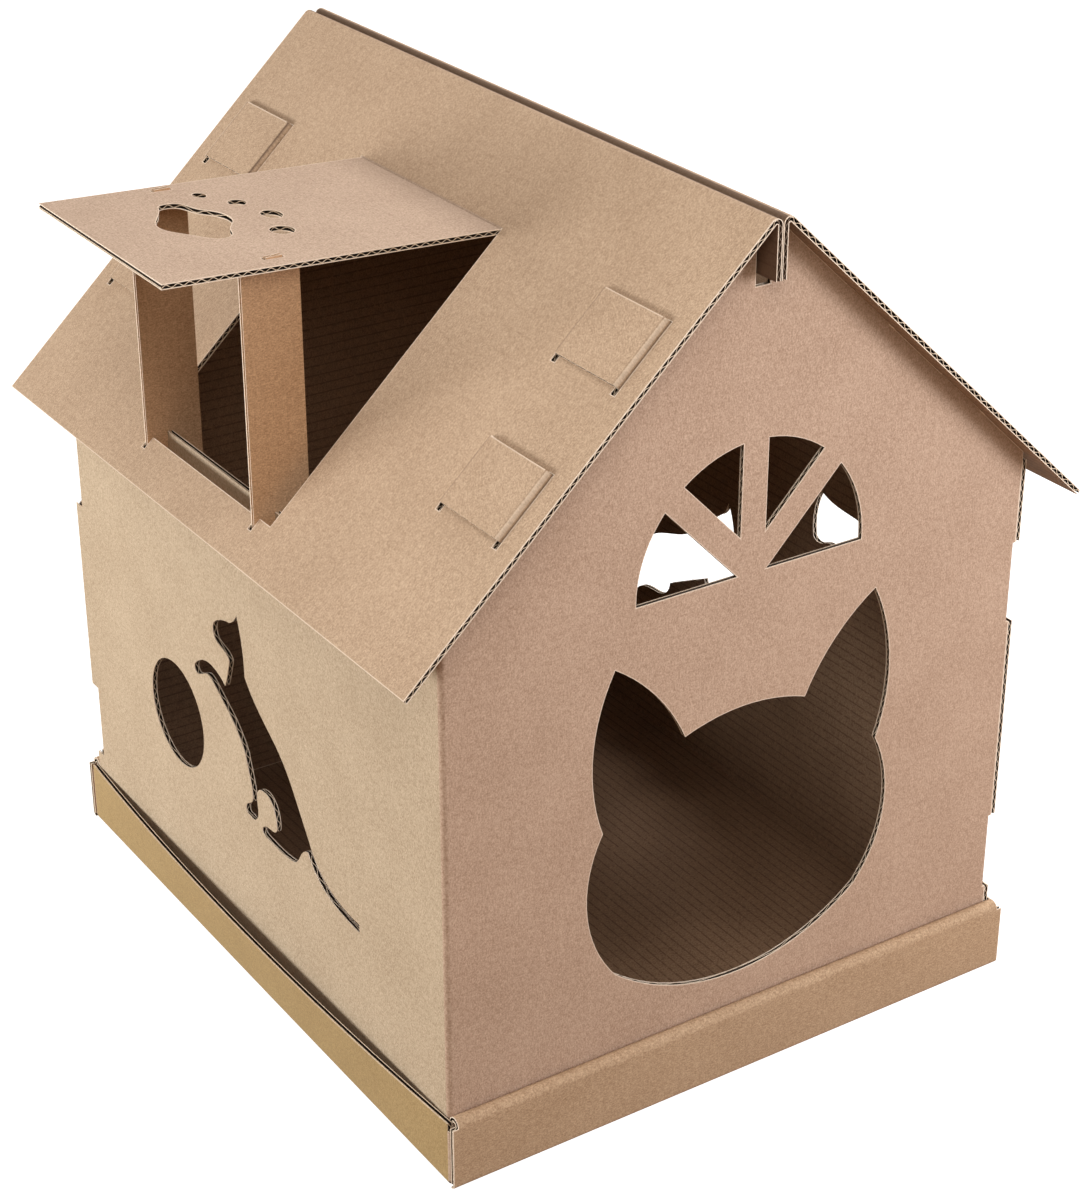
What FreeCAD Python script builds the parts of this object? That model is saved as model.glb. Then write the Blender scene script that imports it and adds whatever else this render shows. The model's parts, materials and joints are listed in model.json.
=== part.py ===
import FreeCAD, Part
import math
import os
from FreeCAD import Matrix, Vector

# A cardboard cat house: a shallow tray, a house of four walls that stands in it, and a
# two-sided roof held down by eight tabs that grow from the gables. Millimetres, +Z up.
# The origin is the middle of the tray's underside. The front gable faces -Y.

# Board
board = 3.0                     # thickness of the corrugated board
slip = 0.3                      # gap between pieces that slide or swing past each other
slot_gap = 0.4                  # room round a tab in its slot
overrun = 6.0                   # how far a cut runs past the faces that it goes through

# Tray
tray_width = 382.4
tray_depth = 454.2
tray_height = 44.0
side_wall_height = 40.5
tray_corner_radius = 5.0
tray_fold_radius = 2.2
corner_flap_length = 60.0
corner_flap_height = 33.0
tongue_width = 54.0
tongue_from_middle = 98.0

# House
ridge_height = 506.8            # top of the rounded ridge fold
roof_pitch = 43.2               # degrees
house_fold_radius = 2.6
lower_hook_base = 52.0          # the gables' folded tuck flaps, and the notches for them
upper_hook_below_top = 49.3     # from the walls' top edge down to the upper flaps
hook_height = 50.0
hook_length = 38.0
hook_notch_depth = 8.5
wall_top_gap = 2.7

# Roof
gable_overhang = 14.2           # how far the roof stands out past a gable
eave_overhang = 29.0            # how far it stands out past a side wall, measured level
ridge_inner_radius = 0.8
ridge_gap = 0.5                 # gap between the two ridge flanges
flange_drop = 32.3              # from the top of the ridge to the flanges' lower edge
notch_side_gap = 1.4
notch_depth_gap = 6.5

# Tabs that hold the roof down
tab_width = 41.0
tab_length = 53.5
tab_tongue_drop = 2.6
upper_tab_start = 75.5          # down the slope from the ridge line
lower_tab_start = 168.5
slit_tail = 4.0                 # how far a slit runs on below its tab

# Skylight
skylight_start = 72.0           # down the slope from the ridge line
skylight_width = 148.0
skylight_middle = 10.8          # along Y
flap_rise = 2.6                 # degrees above level when it rests on its posts
kerf = 0.6
paw_middle_down = 137.4         # from the flap's hinge line
paw_middle_side = 10.0          # from the flap's own middle line
pad_width = 65.0
pad_length = 41.0

# Posts under the skylight flap
post_width = 33.5
post_inset = 4.3                # from the house's side to the middle of a post
front_post_inset = 13.2         # along Y, from the opening's edges to the posts
back_post_inset = 7.4
post_leg = 41.5                 # how far a post's inner leg reaches below the wall's top
post_heel = 10.0                # how far its outer side reaches below the wall's top
post_lap = 6.0                  # how deep the notch in the wall's top is
post_tab_width = 9.4
post_tab_inset = 2.6            # from the middle of a post to the middle of its tip
post_tab_stand = 1.0            # how far the tip stands out of the flap
post_slot_room = 1.2            # lets the flap swing off the tips
post_slit_length = 8.0          # from the opening's lower edge down to the slits' ends

# Fan window in the front gable
fan_radius = 72.8
fan_below_top = 15.8            # from the walls' top edge down to the window's centre
fan_sill_drop = 2.0             # from that centre down to its sill
fan_bar_width = 16.0
fan_bar_angle = 46.0            # degrees above level

# Cat head doorway in the front gable
door_half_width = 101.2
door_sill_height = 62.2
door_below_top = 49.8           # from the walls' top edge down to the ears' tips

# Cut-outs in the side walls
ball_diameter = 68.2
ball_place = 89.5
ball_height = 140.7
kitten_length = 188.0
kitten_start = -126.6
kitten_base = 106.0
kitten_below_top = 84.8         # from the wall's top edge down to its ear
lying_kitten_length = 160.0
lying_kitten_height = 109.5
lying_kitten_start = 14.5
lying_kitten_base = 92.0
butterfly_width = 106.0
butterfly_height = 53.5
butterfly_middle = -95.0
butterfly_below_top = 83.3

# Outlines, as shares of the sizes above
# Doorway: half of the head, across from its middle line and up from its sill
chin_share = (0.0, 0.0)
jaw_share = (0.811, 0.136)
cheek_share = (1.0, 0.389)
ear_notch_share = (0.903, 0.561)
ear_side_share = (0.972, 0.747)
ear_tip_share = (0.839, 1.0)
ear_inside_share = (0.585, 0.897)
ear_root_share = (0.392, 0.755)
crown_share = (0.0, 0.788)

# Kitten that stretches for the ball: smooth stretches between corners, from its ear's tip
kitten_shares = [
    [(0.686, 1.0), (0.66, 0.87), (0.654, 0.738)],
    [(0.654, 0.738), (0.572, 0.627), (0.443, 0.5), (0.335, 0.31), (0.284, 0.206)],
    [(0.284, 0.206), (0.211, 0.103), (0.129, 0.058), (0.0, 0.04)],
    [(0.0, 0.04), (0.0, 0.0)],
    [(0.0, 0.0), (0.129, 0.015), (0.211, 0.048), (0.3, 0.155)],
    [(0.3, 0.155), (0.34, 0.12), (0.376, 0.055), (0.42, 0.036), (0.5, 0.03), (0.57, 0.035)],
    [(0.57, 0.035), (0.592, 0.055), (0.577, 0.082), (0.5, 0.11), (0.496, 0.17), (0.6, 0.242)],
    [(0.6, 0.242), (0.617, 0.18), (0.615, 0.11), (0.63, 0.078), (0.67, 0.07)],
    [(0.67, 0.07), (0.695, 0.082), (0.69, 0.11), (0.655, 0.145), (0.655, 0.25), (0.68, 0.36)],
    [(0.68, 0.36), (0.74, 0.455), (0.85, 0.555), (0.91, 0.59), (0.96, 0.562), (0.985, 0.55)],
    [(0.985, 0.55), (1.0, 0.575), (0.97, 0.62), (0.9, 0.655), (0.83, 0.64), (0.79, 0.612)],
    [(0.79, 0.612), (0.775, 0.66), (0.752, 0.75)],
    [(0.752, 0.75), (0.8, 0.785), (0.845, 0.81), (0.852, 0.85), (0.82, 0.9), (0.74, 0.935)],
    [(0.74, 0.935), (0.71, 0.96), (0.686, 1.0)],
]
# Kitten that lies in wait: the same way, from the tip of its far ear
lying_kitten_shares = [
    [(0.18, 1.0), (0.2, 0.93), (0.24, 0.885)],
    [(0.24, 0.885), (0.36, 0.74), (0.45, 0.64), (0.57, 0.57), (0.675, 0.51), (0.77, 0.39), (0.8, 0.25)],
    [(0.8, 0.25), (0.86, 0.13), (0.93, 0.16), (0.96, 0.34)],
    [(0.96, 0.34), (1.0, 0.33)],
    [(1.0, 0.33), (0.985, 0.12), (0.9, 0.02), (0.8, 0.06)],
    [(0.8, 0.06), (0.75, 0.105), (0.69, 0.118), (0.63, 0.125), (0.585, 0.165), (0.565, 0.235)],
    [(0.565, 0.235), (0.45, 0.32), (0.325, 0.41)],
    [(0.325, 0.41), (0.3, 0.29), (0.285, 0.15), (0.3, 0.03)],
    [(0.3, 0.03), (0.26, 0.0), (0.21, 0.02), (0.2, 0.07)],
    [(0.2, 0.07), (0.235, 0.12), (0.235, 0.24), (0.2, 0.37), (0.13, 0.49)],
    [(0.13, 0.49), (0.06, 0.54), (0.0, 0.62), (0.005, 0.7), (0.03, 0.78)],
    [(0.03, 0.78), (0.01, 0.86)],
    [(0.01, 0.86), (0.05, 0.84), (0.075, 0.81)],
    [(0.075, 0.81), (0.11, 0.815), (0.14, 0.83)],
    [(0.14, 0.83), (0.155, 0.92), (0.18, 1.0)],
]
# Butterfly: one side of it, across from its middle line and up from its lowest point
butterfly_shares = [
    [(0.0, 0.84), (0.1, 0.87)],
    [(0.1, 0.87), (0.45, 0.9), (0.72, 0.94), (0.87, 1.0)],
    [(0.87, 1.0), (0.925, 0.9), (0.995, 0.62), (0.98, 0.39)],
    [(0.98, 0.39), (0.85, 0.35), (0.72, 0.4), (0.6, 0.4)],
    [(0.6, 0.4), (0.69, 0.22), (0.6, 0.04), (0.42, 0.0), (0.25, 0.12), (0.1, 0.33)],
    [(0.1, 0.33), (0.0, 0.26)],
]
# Paw: its pad, as shares of the pad's own width and length, from the pad's middle
pad_shares = [
    [(-0.46, 0.14), (-0.5, 0.04), (-0.48, -0.14), (-0.3, -0.26), (-0.17, -0.41), (0.0, -0.5),
     (0.17, -0.42), (0.3, -0.28), (0.47, -0.16), (0.5, 0.0), (0.45, 0.12), (0.3, 0.29),
     (0.16, 0.45), (0.0, 0.5), (-0.16, 0.39), (-0.3, 0.25), (-0.46, 0.14)],
]
# Its toes: middle across and down from the pad's middle, and half sizes, as shares of the pad
toe_shares = [
    (-0.6, -0.56, 0.075, 0.09),
    (-0.29, -0.86, 0.085, 0.12),
    (0.11, -1.03, 0.115, 0.135),
    (0.515, -0.84, 0.11, 0.16),
]
oval_points = 8

# Places that follow from the sizes
pitch = math.radians(roof_pitch)
half_width = tray_width / 2
half_depth = tray_depth / 2
house_half_width = half_width - board - slip
house_half_depth = half_depth - 3 * board - slip
inner_half_width = house_half_width - board
inner_half_depth = house_half_depth - board
ridge_outer_radius = ridge_inner_radius + board
ridge_arc_across = ridge_gap / 2 + board + ridge_inner_radius
ridge_arc_height = ridge_height - ridge_outer_radius
roof_apex = ridge_arc_height + (ridge_outer_radius + math.sin(pitch) * ridge_arc_across) / math.cos(pitch)
underside_apex = roof_apex - board / math.cos(pitch)
wall_top = underside_apex - house_half_width * math.tan(pitch) - wall_top_gap
roof_depth = 2 * (house_half_depth + gable_overhang)
slope_length = (house_half_width + eave_overhang) / math.cos(pitch)
upper_hook_base = wall_top - upper_hook_below_top - hook_height
fan_centre_height = wall_top - fan_below_top
fan_sill_height = fan_centre_height - fan_sill_drop
door_height = wall_top - door_below_top - door_sill_height
kitten_height = wall_top - kitten_below_top - kitten_base
butterfly_base = wall_top - butterfly_below_top - butterfly_height
post_middle = house_half_width - post_inset
post_outer = post_middle + post_width / 2
front_post_place = skylight_middle - skylight_width / 2 + front_post_inset
back_post_place = skylight_middle + skylight_width / 2 - back_post_inset
post_tab_middle = post_middle - post_tab_inset
post_slit_end = post_outer / math.cos(pitch) + board * math.tan(pitch) + slot_gap
skylight_end = post_slit_end - post_slit_length
skylight_length = skylight_end - skylight_start
hook_bases = (lower_hook_base, upper_hook_base)
tab_starts = {"upper": upper_tab_start, "lower": lower_tab_start}
gable_middle = house_half_depth - board / 2


def underside(across):
    """Height of the roof's underside at a distance from the middle."""
    return underside_apex - across * math.tan(pitch)


def box(x, y, z):
    """A box from three (low, high) pairs."""
    size = [pair[1] - pair[0] for pair in (x, y, z)]
    return Part.makeBox(size[0], size[1], size[2], Vector(x[0], y[0], z[0]))


def prism(points, direction):
    """A solid from a closed polygon of points, pushed along a direction."""
    wire = Part.makePolygon([Vector(*p) for p in points] + [Vector(*points[0])])
    return Part.Face(wire).extrude(Vector(*direction))


def smooth_face(stretches, place):
    """A face inside stretches of points: two points are a line, more are a smooth curve."""
    edges = []
    for stretch in stretches:
        points = [place(*p) for p in stretch]
        if len(points) == 2:
            edges.append(Part.LineSegment(points[0], points[1]).toShape())
        else:
            curve = Part.BSplineCurve()
            curve.interpolate(points)
            edges.append(curve.toShape())
    return Part.Face(Part.Wire(edges))


def turned_half(shape):
    """The same piece on the opposite side of the house, half a turn round the Z axis."""
    copy = shape.copy()
    copy.rotate(Vector(0, 0, 0), Vector(0, 0, 1), 180)
    return copy


def mirrored(shape, normal):
    return shape.mirror(Vector(0, 0, 0), normal)


def on_slope(shape):
    """Move a shape from slope space (down the slope, along Y, outward) to the right-hand roof."""
    copy = shape.copy()
    copy.rotate(Vector(0, 0, 0), Vector(0, 1, 0), roof_pitch)
    copy.translate(Vector(0, 0, roof_apex))
    return copy


def rounded(shape, radius, chooses):
    """Fillet the straight edges that a test on their two ends chooses."""
    edges = [e for e in shape.Edges if len(e.Vertexes) == 2 and chooses(*[v.Point for v in e.Vertexes])]
    return shape.makeFillet(radius, edges) if edges else shape


# Tray

def tray_floor():
    """The floor sheet, with a slot for each tongue of the rolled walls."""
    across = half_width - board
    along = half_depth - board
    floor = box((-across, across), (-along, along), (0, board))
    low = half_depth - 3 * board - slot_gap
    high = half_depth - 2 * board + slot_gap
    reach = tongue_width / 2 + slot_gap
    for side in (-1, 1):
        for end in (-1, 1):
            middle = side * tongue_from_middle
            y = sorted((end * low, end * high))
            floor = floor.cut(box((middle - reach, middle + reach), y, (-overrun, board + overrun)))
    return floor


def rolled_wall():
    """The front wall: an outer panel that rolls over the top and tucks down inside."""
    outer = -half_depth
    crest_radius = board * 3 / 2
    crest_height = tray_height - crest_radius
    crest_middle = outer + crest_radius
    face = box((-half_width, half_width), (outer, outer + board), (0, crest_height))
    face = rounded(face, tray_fold_radius, lambda a, b: a.y < outer + slip and b.y < outer + slip
                   and a.z < slip and b.z < slip)
    inside = half_width - board - slip
    tube = Part.makeCylinder(crest_radius, 2 * inside,
                             Vector(-inside, crest_middle, crest_height), Vector(1, 0, 0))
    bore = Part.makeCylinder(board / 2, 2 * (inside + overrun),
                             Vector(-inside - overrun, crest_middle, crest_height), Vector(1, 0, 0))
    roll = tube.cut(bore).common(box((-inside, inside), (outer - overrun, outer + 4 * board),
                                     (crest_height, tray_height + overrun)))
    panel = box((-inside, inside), (outer + 2 * board, outer + 3 * board), (board, crest_height))
    wall = face.fuse([roll, panel])
    for side in (-1, 1):
        middle = side * tongue_from_middle
        reach = tongue_width / 2
        tongue = box((middle - reach, middle + reach), (outer + 2 * board, outer + 3 * board), (slip, board))
        wall = wall.fuse(tongue)
    return wall.removeSplitter()


def tray_side_wall():
    """The left wall of the tray, one sheet thick with a raw top edge."""
    along = half_depth - 2 * board
    wall = box((-half_width, -half_width + board), (-along, along), (0, side_wall_height))
    return rounded(wall, tray_fold_radius, lambda a, b: a.x < -half_width + slip and b.x < -half_width + slip
                   and a.z < slip and b.z < slip)


def tray_corner_flap():
    """The front left flap: it folds off the side wall and hides inside the rolled wall."""
    y = (-half_depth + board, -half_depth + 2 * board)
    z = (board, board + corner_flap_height)
    flap = box((-half_width, -half_width + corner_flap_length), y, z)
    end = -half_width + corner_flap_length
    return rounded(flap, tray_corner_radius, lambda a, b: a.x > end - slip and b.x > end - slip
                   and abs(a.z - b.z) < slip)


# House walls

def doorway():
    """The cat's head, as a face in the XZ plane."""
    def at(share, side=1):
        return Vector(side * share[0] * door_half_width, 0, door_sill_height + share[1] * door_height)

    def arc(a, b, c):
        return Part.Arc(a, b, c).toShape()

    edges = [arc(at(jaw_share, -1), at(chin_share), at(jaw_share))]
    edges.append(arc(at(jaw_share), at(cheek_share), at(ear_notch_share)))
    edges.append(arc(at(ear_notch_share), at(ear_side_share), at(ear_tip_share)))
    edges.append(arc(at(ear_tip_share), at(ear_inside_share), at(ear_root_share)))
    edges.append(arc(at(ear_root_share), at(crown_share), at(ear_root_share, -1)))
    edges.append(arc(at(ear_root_share, -1), at(ear_inside_share, -1), at(ear_tip_share, -1)))
    edges.append(arc(at(ear_tip_share, -1), at(ear_side_share, -1), at(ear_notch_share, -1)))
    edges.append(arc(at(ear_notch_share, -1), at(cheek_share, -1), at(jaw_share, -1)))
    return Part.Face(Part.Wire(edges))


def fan_window(y):
    """The four panes of the half-round window, as a cutter through a gable."""
    low = y[0] - overrun
    deep = y[1] - y[0] + 2 * overrun
    disc = Part.makeCylinder(fan_radius, deep, Vector(0, low, fan_centre_height), Vector(0, 1, 0))
    panes = disc.common(box((-fan_radius, fan_radius), (low, low + deep),
                            (fan_sill_height, fan_centre_height + fan_radius)))
    bar = box((0, 2 * fan_radius), (low, low + deep), (-fan_bar_width / 2, fan_bar_width / 2))
    for angle in (fan_bar_angle, 90, 180 - fan_bar_angle):
        copy = bar.copy()
        copy.rotate(Vector(0, 0, 0), Vector(0, 1, 0), -angle)
        copy.translate(Vector(0, 0, fan_centre_height))
        panes = panes.cut(copy)
    stem = box((-fan_bar_width / 2, fan_bar_width / 2), (low, low + deep),
               (fan_sill_height - overrun, fan_centre_height + fan_bar_width))
    return panes.cut(stem)


def gable(cut_outs):
    """A gable at the front: its notch for the ridge, the roots of its roof tabs and any cut-outs."""
    y = (-house_half_depth, -inner_half_depth)
    left = -house_half_width
    right = inner_half_width
    outline = [(left, y[0], board), (right, y[0], board), (right, y[0], underside(right)),
               (0, y[0], underside_apex), (left, y[0], underside(-left))]
    wall = prism(outline, (0, board, 0))
    wall = rounded(wall, house_fold_radius, lambda a, b: a.x < left + slip and b.x < left + slip
                   and a.y < y[0] + slip and b.y < y[0] + slip)
    notch = ridge_gap / 2 + board + notch_side_gap
    notch_bottom = ridge_height - flange_drop - notch_depth_gap
    cuts = [box((-notch, notch), (y[0] - overrun, y[1] + overrun), (notch_bottom, ridge_height + overrun))]
    wall = wall.cut(cuts + cut_outs)
    roots = []
    for start in tab_starts.values():
        root = on_slope(box((start, start + tab_width), y, (-board * 2, 0)))
        root = root.common(box((0, house_half_width), (y[0] - overrun, y[1] + overrun), (board, ridge_height)))
        roots += [root, mirrored(root, Vector(1, 0, 0))]
    return wall.fuse(roots).removeSplitter()


def front_wall():
    """The front gable with its window and its doorway."""
    y = (-house_half_depth, -inner_half_depth)
    head = doorway()
    head.translate(Vector(0, y[0] - overrun, 0))
    return gable([fan_window(y), head.extrude(Vector(0, board + 2 * overrun, 0))])


def gable_hook(base):
    """A flap of the front wall, folded back at the right-hand corner and tucked inside."""
    z = (base + slip, base + hook_height - slip)
    end = -inner_half_depth + hook_length
    hook = box((inner_half_width - board, inner_half_width), (-inner_half_depth, end), z)
    return rounded(hook, tray_corner_radius, lambda a, b: a.y > end - slip and b.y > end - slip
                   and abs(a.z - b.z) < slip)


def side_wall():
    """A left wall with no cut-outs: folded at the front corner, raw and notched at the back."""
    wall = box((-house_half_width, -inner_half_width), (-inner_half_depth, house_half_depth), (board, wall_top))
    back = house_half_depth
    for base in hook_bases:
        cut = box((-house_half_width - overrun, -inner_half_width + overrun),
                  (back - hook_notch_depth, back + overrun), (base, base + hook_height))
        wall = wall.cut(cut)
    return wall


def silhouette(shares, start, base, length, height):
    """A cutter through the left wall, from an outline in shares of its length and height."""
    low = -house_half_width - overrun

    def place(along, up):
        return Vector(low, start + along * length, base + up * height)

    return smooth_face(shares, place).extrude(Vector(board + 2 * overrun, 0, 0))


def butterfly():
    """Both sides of the butterfly, as a cutter through the left wall."""
    low = -house_half_width - overrun
    cutters = []
    for side in (-1, 1):
        def place(along, up, side=side):
            return Vector(low, -butterfly_middle + side * along * butterfly_width / 2,
                          butterfly_base + up * butterfly_height)
        spine = [[butterfly_shares[-1][-1], butterfly_shares[0][0]]]
        cutters.append(smooth_face(butterfly_shares + spine, place).extrude(Vector(board + 2 * overrun, 0, 0)))
    return cutters


def post_notch(place):
    """The notch in the left wall's top edge that a post laps into."""
    reach = board / 2 + slot_gap / 2
    return box((-house_half_width - overrun, -inner_half_width + overrun), (place - reach, place + reach),
               (wall_top - post_lap, wall_top + overrun))


def left_wall():
    ball = Part.makeCylinder(ball_diameter / 2, board + 2 * overrun,
                             Vector(-house_half_width - overrun, ball_place, ball_height), Vector(1, 0, 0))
    kitten = silhouette(kitten_shares, kitten_start, kitten_base, kitten_length, kitten_height)
    return side_wall().cut([ball, kitten, post_notch(front_post_place), post_notch(back_post_place)])


def right_wall():
    """The right wall, cut as a left wall and then turned round with the back gable."""
    def flipped(shares):
        return [[(-along, up) for along, up in stretch] for stretch in shares]

    kitten = silhouette(flipped(lying_kitten_shares), -lying_kitten_start, lying_kitten_base,
                        lying_kitten_length, lying_kitten_height)
    return turned_half(side_wall().cut([kitten] + butterfly()))


# Roof

def roof_panel():
    """The right-hand slope with its ridge fold and flange, slit for the four tabs."""
    along = roof_depth / 2
    arc_down = ridge_arc_across * math.cos(pitch) - (ridge_arc_height - roof_apex) * math.sin(pitch)
    panel = on_slope(box((arc_down, slope_length), (-along, along), (-board, 0)))
    centre = Vector(ridge_arc_across, -along, ridge_arc_height)
    tube = Part.makeCylinder(ridge_outer_radius, roof_depth, centre, Vector(0, 1, 0))
    tube = tube.cut(Part.makeCylinder(ridge_inner_radius, roof_depth, centre, Vector(0, 1, 0)))
    far = ridge_outer_radius * 4
    down = Vector(math.cos(pitch), 0, -math.sin(pitch))
    normal = Vector(math.sin(pitch), 0, math.cos(pitch))
    wedge = [centre, centre + Vector(-far, 0, 0), centre + Vector(-far, 0, far), centre + normal * far]
    fold = tube.common(prism([(p.x, p.y, p.z) for p in wedge], (0, roof_depth, 0)))
    flange = box((ridge_gap / 2, ridge_gap / 2 + board), (-along, along),
                 (ridge_height - flange_drop, ridge_arc_height))
    roof = panel.fuse([fold, flange])
    return roof.removeSplitter().cut(tab_slits())


def tab_slits():
    """Two slits in the right-hand slope for each tab, at both gables."""
    slits = []
    root = (-house_half_depth - slot_gap, -inner_half_depth + slot_gap)
    free = -gable_middle + tab_length
    tongue = (free - board - slot_gap, free + slot_gap)
    for start in tab_starts.values():
        for y in (root, tongue):
            along = (start - slot_gap, start + tab_width + slit_tail)
            slit = on_slope(box(along, y, (-board - overrun, overrun)))
            slits += [slit, mirrored(slit, Vector(0, 1, 0))]
    return slits


def skylight_opening():
    """The cut in the left-hand slope, with the two slits that the posts stand in."""
    y = (skylight_middle - skylight_width / 2, skylight_middle + skylight_width / 2)
    through = (-board - overrun, overrun)
    cut = [on_slope(box((skylight_start, skylight_end), y, through))]
    reach = board / 2 + slot_gap / 2
    for place in (front_post_place, back_post_place):
        cut.append(on_slope(box((skylight_end - slip, post_slit_end), (place - reach, place + reach), through)))
    return [mirrored(shape, Vector(1, 0, 0)) for shape in cut]


def roof_left():
    return mirrored(roof_panel(), Vector(1, 0, 0)).cut(skylight_opening())


# Skylight flap and its posts

def flap_axis():
    """The middle of the flap's hinge line, on the left-hand slope."""
    down = skylight_start + board / 2 + kerf / 2
    x = -(down * math.cos(pitch) - board / 2 * math.sin(pitch))
    z = roof_apex - down * math.sin(pitch) - board / 2 * math.cos(pitch)
    return Vector(x, skylight_middle, z)


def paw():
    """The paw print, as cutters through a flat sheet at z = 0 with its hinge along Y."""
    deep = board + 2 * overrun

    def place(across, down):
        return Vector(down * pad_length, across * pad_width, -deep / 2)

    cutters = [smooth_face(pad_shares, place).extrude(Vector(0, 0, deep))]
    for across, down, wide_share, long_share in toe_shares:
        rim = []
        for k in range(oval_points):
            turn = 2 * math.pi * k / oval_points
            rim.append(place(across + wide_share * math.cos(turn), down + long_share * math.sin(turn)))
        curve = Part.BSplineCurve()
        curve.interpolate(rim, PeriodicFlag=True)
        cutters.append(Part.Face(Part.Wire(curve.toShape())).extrude(Vector(0, 0, deep)))
    for cutter in cutters:
        cutter.translate(Vector(paw_middle_down, -paw_middle_side, 0))
    return cutters


def skylight_flap():
    """The flap with its paw print, resting on the posts."""
    wide = skylight_width / 2 - kerf
    length = skylight_length - board / 2 - kerf
    flap = box((0, length), (-wide, wide), (-board / 2, board / 2))
    bead = Part.makeCylinder(board / 2, 2 * wide, Vector(0, -wide, 0), Vector(0, 1, 0))
    flap = flap.fuse(bead).removeSplitter()
    flap = flap.cut(paw())
    flap.rotate(Vector(0, 0, 0), Vector(0, 0, 1), 180)
    flap.rotate(Vector(0, 0, 0), Vector(0, 1, 0), flap_rise)
    flap.translate(flap_axis())
    reach = post_tab_width / 2 + post_slot_room
    thick = board / 2 + slip
    x = (-post_tab_middle - reach, -post_tab_middle + reach)
    z = (flap_axis().z - 4 * board, flap_axis().z + 8 * board)
    for place in (front_post_place, back_post_place):
        flap = flap.cut(box(x, (place - thick, place + thick), z))
    return flap


def flap_underside(across):
    """Height of the flap's lower face at a distance from the middle of the house."""
    axis = flap_axis()
    rise = math.radians(flap_rise)
    return axis.z + (across + axis.x) * math.tan(rise) - board / 2 / math.cos(rise)


def post(place):
    """A flat post that laps over the left wall and ends in a tip that goes through the flap."""
    outer = post_outer
    inner = post_middle - post_width / 2
    tip = (post_tab_middle + post_tab_width / 2, post_tab_middle - post_tab_width / 2)
    lap_top = wall_top - post_lap + slip
    slot = (house_half_width + slip, inner_half_width - slip)
    tip_height = flap_underside(post_tab_middle) + board / math.cos(math.radians(flap_rise)) + post_tab_stand
    outline = [(outer, wall_top - post_heel), (outer, flap_underside(outer) - slip),
               (tip[0], flap_underside(tip[0]) - slip), (tip[0], tip_height), (tip[1], tip_height),
               (tip[1], flap_underside(tip[1]) - slip), (inner, flap_underside(inner) - slip),
               (inner, wall_top - post_leg), (slot[1], wall_top - post_leg), (slot[1], lap_top),
               (slot[0], lap_top), (slot[0], wall_top - post_heel)]
    points = [(-x, place - board / 2, z) for x, z in outline]
    return prism(points, (0, board, 0))


# Tabs

def lock_tab(start):
    """A tab at the front gable on the right-hand slope, folded in over the roof."""
    y = -gable_middle
    flat = box((start, start + tab_width), (y, y + tab_length), (0, board))
    bead = Part.makeCylinder(board / 2, tab_width, Vector(start, y, board / 2), Vector(1, 0, 0))
    tongue = box((start, start + tab_width), (y + tab_length - board, y + tab_length), (-tab_tongue_drop, 0))
    tab = flat.fuse([bead, tongue]).removeSplitter()
    return on_slope(tab)


def parts():
    """Every node of the cat house, by name."""
    shapes = {"tray_floor": tray_floor()}
    shapes["tray_front_wall"] = rolled_wall()
    shapes["tray_back_wall"] = turned_half(rolled_wall())
    shapes["tray_left_wall"] = tray_side_wall()
    shapes["tray_right_wall"] = turned_half(tray_side_wall())
    flap = tray_corner_flap()
    shapes["tray_flap_front_left"] = flap
    shapes["tray_flap_front_right"] = mirrored(flap, Vector(1, 0, 0))
    shapes["tray_flap_back_left"] = mirrored(flap, Vector(0, 1, 0))
    shapes["tray_flap_back_right"] = turned_half(flap)
    shapes["front_wall"] = front_wall()
    shapes["back_wall"] = turned_half(gable([]))
    shapes["left_wall"] = left_wall()
    shapes["right_wall"] = right_wall()
    for level, base in zip(("lower", "upper"), hook_bases):
        shapes["front_hook_" + level] = gable_hook(base)
        shapes["back_hook_" + level] = turned_half(gable_hook(base))
    shapes["roof_right"] = roof_panel()
    shapes["roof_left"] = roof_left()
    shapes["skylight_flap"] = skylight_flap()
    shapes["post_front"] = post(front_post_place)
    shapes["post_back"] = post(back_post_place)
    for level, start in tab_starts.items():
        tab = lock_tab(start)
        shapes["tab_front_right_" + level] = tab
        shapes["tab_front_left_" + level] = mirrored(tab, Vector(1, 0, 0))
        shapes["tab_back_right_" + level] = mirrored(tab, Vector(0, 1, 0))
        shapes["tab_back_left_" + level] = turned_half(tab)
    return shapes


os.makedirs("parts", exist_ok=True)
for name, shape in parts().items():
    solids = shape.Solids
    if len(solids) != 1 or not shape.isValid():
        print("look at", name, len(solids), "solids, valid:", shape.isValid())
    shape = solids[0] if len(solids) == 1 else shape
    shape.exportStep("parts/" + name + ".step")
    low, high = shape.BoundBox.getPoint(0), shape.BoundBox.getPoint(6)
    print(name, round(shape.Volume), [round(v, 1) for v in (*low, *high)])
axis = flap_axis()
print("flap hinge through", [round(v, 3) for v in axis])
for level, start in tab_starts.items():
    print("tab", level, "hinge through", [round(v, 3) for v in on_slope(
        Part.Vertex(start + tab_width / 2, -gable_middle, board / 2)).Point])
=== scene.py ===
# %% [markdown]
# # A cardboard cat house
# The real object is a play house for a cat, cut and folded from corrugated board. Four walls
# stand in a shallow tray, a roof of two slopes lies on the gables, eight tabs hold the roof
# down, and a flap in the left slope is propped open on two posts.
#
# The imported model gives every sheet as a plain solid. This lesson rebuilds each sheet as real
# corrugated board: two thin liners with a wavy middle between them. Only the flat outlines are
# read from the solids, so every piece stays exactly where the solids are.

# %% The frame and the tools
import json
import math

import bmesh
import bpy
from mathutils import Matrix, Vector


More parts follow.
